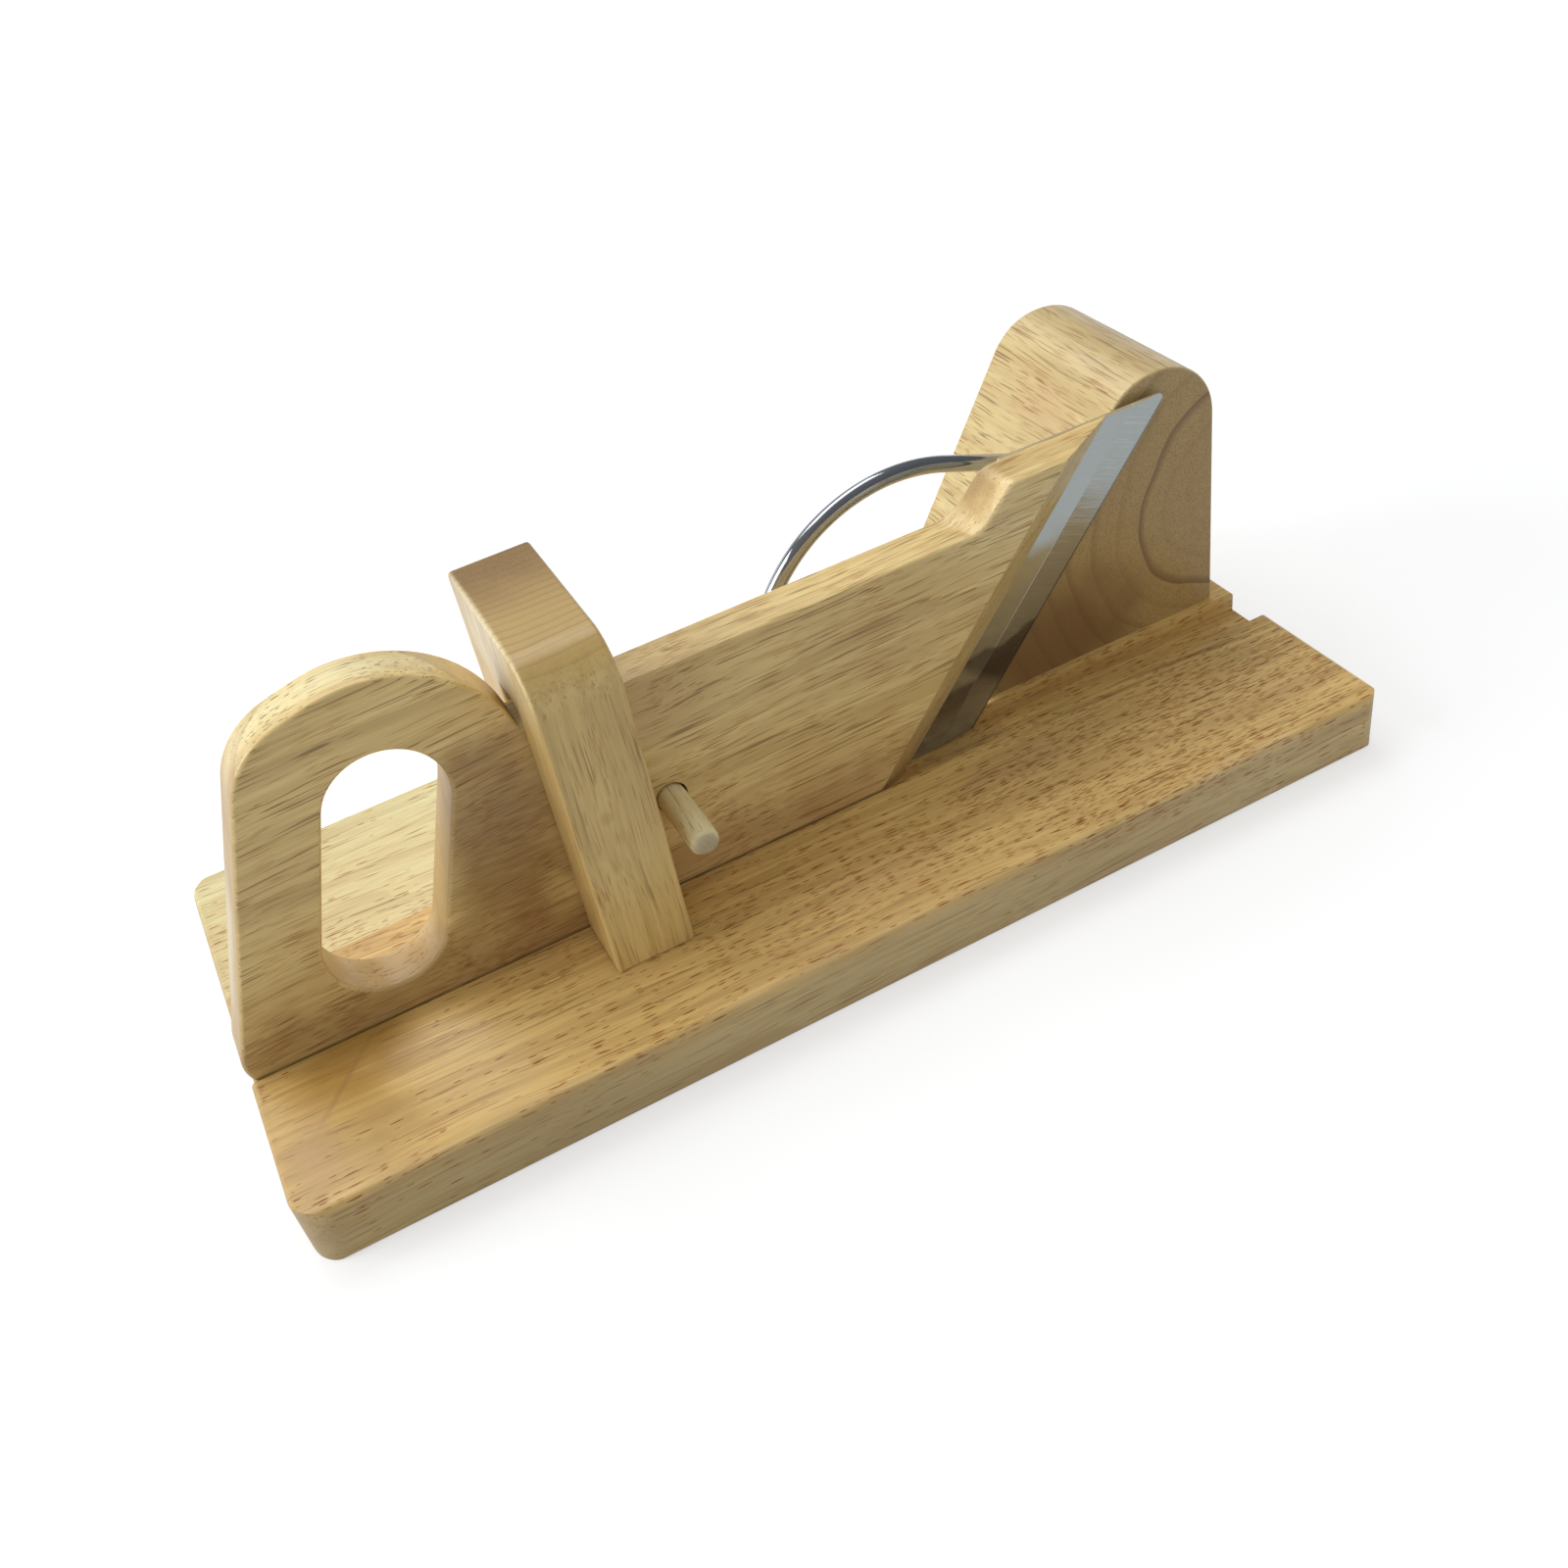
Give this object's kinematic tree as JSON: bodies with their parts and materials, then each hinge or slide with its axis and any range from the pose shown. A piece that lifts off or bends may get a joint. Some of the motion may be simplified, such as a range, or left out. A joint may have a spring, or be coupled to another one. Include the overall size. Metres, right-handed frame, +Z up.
{
  "type": "sausage slicer",
  "caption": "Wooden sausage slicer: a knife board with a handle hole slides in a grooved base and shears past an end block with a wire food bow.",
  "frame": {"origin": "middle of the base's underside, with the knife closed", "axes": "+X along the base from the handle end towards the end block, +Y from the front to the back, +Z up"},
  "size_m": [0.285, 0.124, 0.1039],
  "materials": {
    "base_wood": "satin lacquer on pale tan hardwood, with short dark pores along the grain",
    "block_wood": "satin lacquer, end grain with growth rings on the front face",
    "board_wood": "satin lacquer, straight grain along the board",
    "saddle_wood": "satin lacquer, slightly warmer than the base",
    "peg_wood": "plain dowel with a greyish end",
    "blade_steel": "fine ground, with grinding lines across the bevel",
    "bow_chrome": "bright chrome plate",
    "screw_zinc": "bright zinc"
  },
  "bodies": {
    "base": {"base_board": "base_wood", "end_block": "block_wood", "block_screw_left": "screw_zinc", "block_screw_right": "screw_zinc", "wire_bow": "bow_chrome"},
    "knife": {"knife_board": "board_wood", "knife_blade": "blade_steel", "blade_screw_low": "screw_zinc", "blade_screw_middle": "screw_zinc", "blade_screw_high": "screw_zinc", "guide_saddle": "saddle_wood"},
    "peg": {"stop_peg": "peg_wood"}
  },
  "joints": [
    {"name": "knife_slide", "type": "slide", "parent": "base", "child": "knife", "axis": [1, 0, 0], "range_m": [-0.065, 0]},
    {"name": "peg_pull", "type": "slide", "parent": "knife", "child": "peg", "axis": [0, -1, 0], "range_m": [0, 0.04]}
  ]
}
